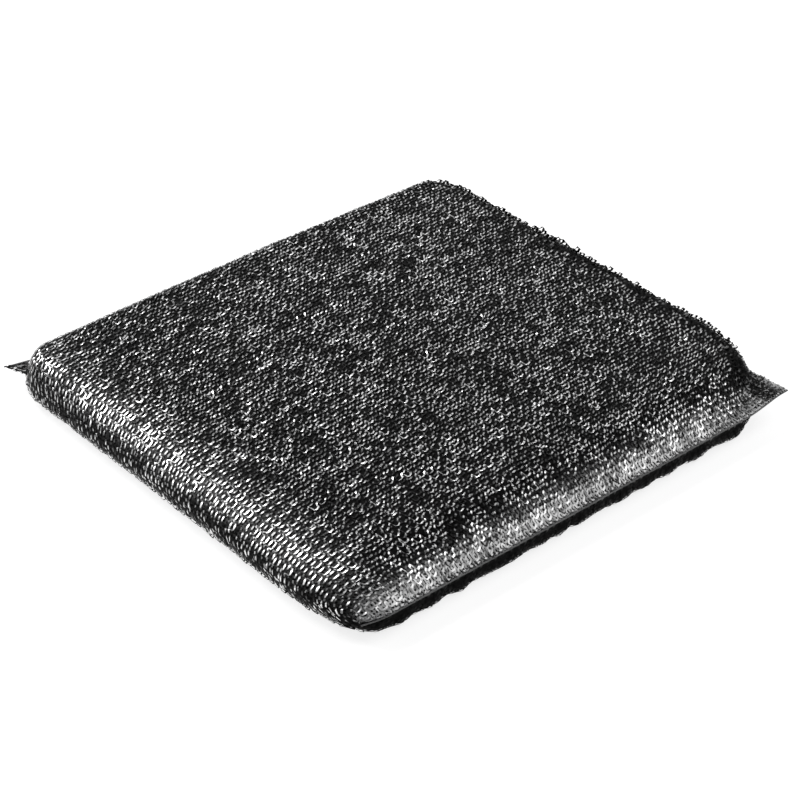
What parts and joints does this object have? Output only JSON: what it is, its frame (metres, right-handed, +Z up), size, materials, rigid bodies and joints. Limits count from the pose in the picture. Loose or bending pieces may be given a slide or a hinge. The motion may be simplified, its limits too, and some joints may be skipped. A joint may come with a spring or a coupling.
{
  "type": "scouring sponge",
  "caption": "Flat, nearly square scouring sponge: a thin foam pad in a tube of black and silver metallised film knit, fused shut at both ends with small ears at the corners.",
  "frame": {"origin": "on the floor, under the middle of the pad's outer box", "axes": "+Z up through the pad's thickness, +Y across the pad from fold to fold, +X along the knitted tube from weld to weld"},
  "size_m": [0.13, 0.1386, 0.0122],
  "materials": {
    "metallised_knit": "glossy black and silver film yarn",
    "grey_foam": "matt open-cell foam"
  },
  "bodies": {
    "root": {"knitted_cover": "metallised_knit", "foam_core": "grey_foam"}
  },
  "joints": []
}
